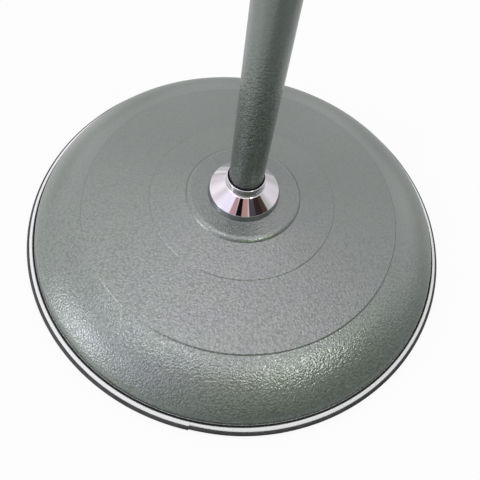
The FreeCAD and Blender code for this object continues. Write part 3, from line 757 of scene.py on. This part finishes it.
def rubber_pads():
    """The four feet, each with a recess for its screw."""
    outline = [
        (2.3, PAD_RECESS),
        (6.5, PAD_RECESS),
        (6.5, 0.4),
        (6.9, 0),
        (11.8, 0),
        (13, 1.2),
        (13, 4),
        (2.3, 4),
    ]
    pad = lathe(outline, 72, 0.35)
    return piece("rubber_pads", four_round(pad, PAD_CIRCLE, PAD_BEARING), RUBBER, "black_rubber",
                 "foot_pads")


painted_shell()
rubber_edge()
bright_bead()
painted_column()
chrome_collar()
nylon_bush()
tapped_plug()
sunk_screws()
pan_screws("sheet_screws", "bottom_screws", SHEET_CIRCLE, 0,
           radius=2.5, head=4.6, head_height=2.2, seat=4.0, tip=15.0)
pan_screws("pad_screws", "foot_screws", PAD_CIRCLE, PAD_BEARING,
           radius=2.0, head=4.4, head_height=1.8, seat=PAD_RECESS, tip=13.0)
rubber_pads()

# Nodes that show their own solids, each with its finish
CARRIED = {
    "reinforcing_plate": STEEL,
    "column_gasket": GASKET,
    "column_flange": STEEL,
    "flange_washers": ZINC,
    "flange_split_washers": SPRING,
    "flange_nuts": ZINC,
    "foot_pin": SPRING,
    "top_pin": SPRING,
    "ballast": IRON,
    "ballast_studs": ZINC,
    "ballast_washers": ZINC,
    "ballast_split_washers": SPRING,
    "ballast_nuts": ZINC,
    "bottom_plate": SHEET,
}
for node, finish in CARRIED.items():
    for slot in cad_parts[node].material_slots:
        slot.material = finish.data


# Floor, light and camera

# Half the floor's side in metres
FLOOR_HALF = 4.0


def pale_floor():
    """A pale floor that shows white round the object and keeps its shadow.

    The gloss sees it as painted light: a glow that is dark near the base at its front and lighter
    towards the back, the left and the right. Other rays than the camera's see a darker, greenish
    paper, as painted shade.
    """
    mesh = bpy.data.meshes.new("pale_floor")
    half = FLOOR_HALF
    mesh.from_pydata([(-half, -half, 0), (half, -half, 0), (half, half, 0), (-half, half, 0)], [],
                     [(0, 1, 2, 3)])
    floor = bpy.data.objects.new("pale_floor", mesh)
    bpy.context.collection.objects.link(floor)
    data = bpy.data.materials.new("pale_floor")
    data.use_nodes = True
    paint = Tree(data.node_tree)
    across, back, _ = paint.apart(paint.node("ShaderNodeTexCoord", out=3))
    seen, mirrored, through = paint.rays()
    # Painted light: masks where the floor glows for reflections, stronger towards the back, the
    # sides and the window
    behind = (back - across * 0.55).between(-0.20, -0.09) * 0.38
    left = across.between(0.0, -0.2) * 0.1
    painted_window_light = (across * -0.906 - back * 0.423).between(0.08, 0.16) * 0.45
    right = (across + back * 0.5).between(0.15, 0.22) * back.between(0.03, 0.12, 0.09, 0.04)
    painted_floor_light = behind + left + painted_window_light + right
    # Painted shade: a darker, greenish paper for all rays but the camera's
    tone = paint.mixed(seen, (0.26, 0.29, 0.26, 1.0), (0.80, 0.80, 0.80, 1.0))
    dull = paint.node("ShaderNodeBsdfDiffuse", None, {"Color": tone})
    white = paint.node("ShaderNodeEmission", None, {"Color": (1, 1, 1, 1), "Strength": 1.0})
    share = seen * 0.88 + (mirrored + through) * (painted_floor_light + 0.11)
    both = paint.node("ShaderNodeMixShader", None, {0: share, 1: dull, 2: white})
    paint.node("ShaderNodeOutputMaterial", None, {"Surface": both})
    mesh.materials.append(data)


# Directions of the sky are in degrees, and bearings go from the back towards the right.
# Rings of soft wall: height, first bearing, step and the brightness of each
WALL_OUTER, WALL_INNER = 36, 4
WALLS = [
    (10, 0, 30, (0.60, 0.40, 0.51, 0.19, 0.07, 0.02, 0.06, 0.32, 0.85, 0.52, 0.50, 0.40)),
    (38, 15, 30, (0.24, 0.32, 0.23, 0.26, 0.40, 0.30, 0.21, 0.45, 0.36, 0.20, 0.48, 0.12)),
    (65, 0, 60, (0.32, 0.285, 0.35, 0.27, 0.46, 0.45)),
    (90, 0, 360, (0.41,)),
]

# Tints of the walls: bearing, height, outer and inner half angle and colour
TINTS = [
    (142, 25, 62, 12, (0.90, 1.05, 0.87, 1)),
    (222, 38, 40, 8, (1.02, 0.98, 1.15, 1)),
    (30, 80, 32, 4, (1.11, 0.96, 1.13, 1)),
]

# Cards in front of the walls: bearing, height, outer and inner half angle and colour
CARDS = [
    (204, 47, 8, 5, shade(205, 165, 168)),
    (163, 48, 10, 7, shade(200, 158, 148)),
    (184, 49, 7.5, 5, shade(30, 20, 24)),
    (150, 47, 4, 1.5, shade(232, 228, 230)),
    (137, 44, 11, 8, shade(88, 76, 88)),
    (118, 39, 12, 8, shade(54, 44, 46)),
    (103, 35, 8, 4, shade(80, 66, 56)),
]


def beside(sky, towards, bearing, height, outer, inner):
    """A soft round mask about one direction of the sky."""
    turn, tilt = math.radians(bearing), math.radians(height)
    way = Vector((math.sin(turn) * math.cos(tilt), math.cos(turn) * math.cos(tilt),
                  math.sin(tilt)))
    along = sky.node("ShaderNodeVectorMath", {"operation": "DOT_PRODUCT"},
                     {0: towards, 1: way}, out=1)
    return along.between(math.cos(math.radians(outer)), math.cos(math.radians(inner)))


def studio_sky():
    """A plain light studio: soft walls, a darker front, and white where the camera looks past."""
    world = bpy.data.worlds.new("studio")
    bpy.context.scene.world = world
    world.use_nodes = True
    sky = Tree(world.node_tree)
    towards = sky.node("ShaderNodeTexCoord", out=0)
    level = 0.0
    for height, first, step, ring in WALLS:
        for place, strength in enumerate(ring):
            wall = beside(sky, towards, first + place * step, height, WALL_OUTER, WALL_INNER)
            level = level + wall * strength
    tint = (1.02, 0.98, 1.03, 1)
    for bearing, height, outer, inner, colour in TINTS:
        tint = sky.mixed(beside(sky, towards, bearing, height, outer, inner), tint, colour)
    colour = sky.node("ShaderNodeVectorMath", {"operation": "SCALE"}, {0: tint, "Scale": level})
    for bearing, height, outer, inner, tone in CARDS:
        mask = beside(sky, towards, bearing, height, outer, inner)
        colour = sky.mixed(mask, colour, tone)
    light = sky.node("ShaderNodeBackground", None, {"Color": colour, "Strength": 1.0})
    white = sky.node("ShaderNodeBackground", None, {"Color": (1, 1, 1, 1), "Strength": 1.0})
    both = sky.node("ShaderNodeMixShader", None, {0: sky.rays()[0], 1: light, 2: white})
    sky.node("ShaderNodeOutputWorld", None, {"Surface": both})


# Each lamp: name, direction from the base, distance and size in metres, power in watts and colour
LAMPS = [
    ("window", (-0.85, -0.49, 0.19), 1.6, 0.36, 2.0, (0.93, 0.92, 1.0)),
    ("warm_lamp", (0.445, -0.385, 0.809), 1.55, 0.25, 2.0, (1.0, 0.96, 0.90)),
    ("overhead", (0.10, 0.20, 0.97), 1.5, 0.15, 0.2, (1.0, 0.95, 1.0)),
    ("left_spot", (-0.323, -0.283, 0.903), 1.5, 0.15, 0.9, (0.95, 0.94, 1.0)),
    ("left_top", (-0.159, 0.029, 0.987), 1.5, 0.12, 0.09, (0.97, 0.96, 1.0)),
    ("middle_top", (0.114, 0.028, 0.993), 1.5, 0.12, 0.045, (1.0, 0.97, 0.97)),
]


def lamp(name, way, distance, size, power, colour):
    """A soft square lamp that stands off in a direction and faces the base."""
    data = bpy.data.lights.new(name, "AREA")
    data.shape = "SQUARE"
    data.size = size
    data.energy = power
    data.color = colour
    made = bpy.data.objects.new(name, data)
    way = Vector(way).normalized()
    made.location = way * distance
    made.rotation_mode = "QUATERNION"
    made.rotation_quaternion = way.to_track_quat("Z", "Y")
    bpy.context.collection.objects.link(made)


CAMERA_PLACE = (0.0, -0.2586, 0.4139)
CAMERA_LENS = 36.585


def aim_camera():
    """The photograph's view: from above and in front, turned a little to the right."""
    yaw, pitch, roll = 0.0184, 1.0455, 0.1857
    ahead = Vector((math.sin(yaw) * math.cos(pitch), math.cos(yaw) * math.cos(pitch),
                    -math.sin(pitch)))
    level = ahead.cross(Vector((0, 0, 1))).normalized()
    above = level.cross(ahead)
    right = math.cos(roll) * level + math.sin(roll) * above
    up = math.cos(roll) * above - math.sin(roll) * level
    data = bpy.data.cameras.new("view")
    data.sensor_width = 36.0
    data.lens = CAMERA_LENS
    data.clip_start = 0.01
    data.clip_end = 50.0
    camera = bpy.data.objects.new("view", data)
    camera.matrix_world = (Matrix.Translation(CAMERA_PLACE)
                           @ Matrix((right, up, -ahead)).transposed().to_4x4())
    bpy.context.collection.objects.link(camera)
    bpy.context.scene.camera = camera


pale_floor()
studio_sky()
for values in LAMPS:
    lamp(*values)
aim_camera()
bpy.context.scene.view_settings.view_transform = "Standard"
